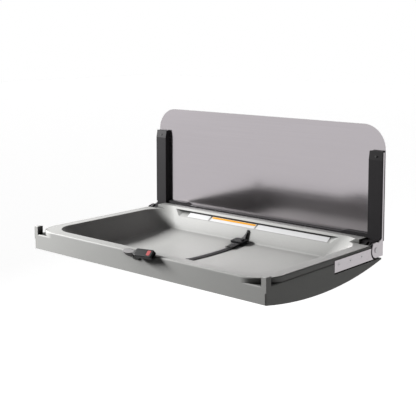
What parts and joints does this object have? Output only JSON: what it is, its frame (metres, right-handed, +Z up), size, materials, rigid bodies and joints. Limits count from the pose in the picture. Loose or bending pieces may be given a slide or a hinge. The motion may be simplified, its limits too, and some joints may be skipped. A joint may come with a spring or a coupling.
{
  "type": "wall-mounted baby changing station",
  "caption": "Horizontal fold-down baby changing station for a wall: steel back panel, hinged dished bed, safety strap with push-button buckle.",
  "frame": {"origin": "centre of the wall bolt pattern on the wall plane", "axes": "+X along the wall to the user's right, +Y into the wall, +Z up; the bed is open and reaches towards -Y"},
  "size_m": [0.8934, 0.5692, 0.4191],
  "materials": {
    "stainless": "satin stainless, blurred reflections",
    "bracket_steel": "satin zinc-plated",
    "zinc_steel": "zinc-plated",
    "black_metal": "satin black",
    "black_plastic": "matte charcoal",
    "granite_plastic": "fine-textured moulded grey",
    "label_white": "smooth vinyl",
    "label_amber": "smooth vinyl",
    "webbing": "woven polyester",
    "black_gloss": "moulded nylon",
    "cap_grey": "fine-textured",
    "red_plastic": "gloss"
  },
  "bodies": {
    "chassis": {"steel_panel": "stainless", "upright_spacer_left": "black_plastic", "upright_spacer_right": "black_plastic", "bracket_left": "bracket_steel", "bracket_right": "bracket_steel", "hinge_block_left": "black_metal", "hinge_block_right": "black_metal", "upright_cover_left": "black_plastic", "upright_cover_right": "black_plastic", "hinge_pin_left": "zinc_steel", "hinge_pin_right": "zinc_steel", "cross_rail": "black_plastic", "rail_screws": "black_metal", "cover_screws": "black_metal", "hinge_block_screws": "black_metal", "hinge_clips": "zinc_steel", "hinge_washers": "black_plastic", "stop_pins": "zinc_steel", "spring_lug_pin": "black_metal"},
    "bed": {"bed_tray": "granite_plastic", "bag_hook_left": "granite_plastic", "bag_hook_right": "granite_plastic", "bed_bottom": "granite_plastic", "bed_stiffener": "zinc_steel", "bottom_screws": "zinc_steel", "stiffener_screws": "zinc_steel", "hinge_arm_left": "bracket_steel", "hinge_arm_right": "bracket_steel", "arm_screws": "zinc_steel", "gas_spring_cylinder": "black_metal", "gas_spring_pin": "zinc_steel", "label_left": "label_white", "label_middle": "label_white", "label_right": "label_white", "label_band": "label_amber", "strap_anchor": "black_gloss", "rear_strap": "webbing", "strap_adjuster": "black_gloss", "strap_tail": "webbing", "strap_cap": "cap_grey", "front_strap": "webbing", "strap_end": "webbing", "buckle_body": "black_gloss", "buckle_spring": "zinc_steel"},
    "spring_rod": {"gas_spring_rod": "black_metal"},
    "button": {"buckle_button": "red_plastic"}
  },
  "joints": [
    {"name": "bed_fold", "type": "hinge", "parent": "chassis", "child": "bed", "pos_m": [0, -0.042, -0.146], "axis": [-1, 0, 0], "range_deg": [0, 90]},
    {"name": "spring_slide", "type": "slide", "parent": "bed", "child": "spring_rod", "axis": [0, 1, 0], "range_m": [0, 0.0157]},
    {"name": "button_press", "type": "slide", "parent": "bed", "child": "button", "axis": [0, 0.7071, -0.7071], "range_m": [0, 0.0015], "stiffness_N_per_m": 600}
  ],
  "couplings": [
    {"joint": "spring_slide", "follows": "bed_fold", "m_per_rad": 0.00993}
  ]
}
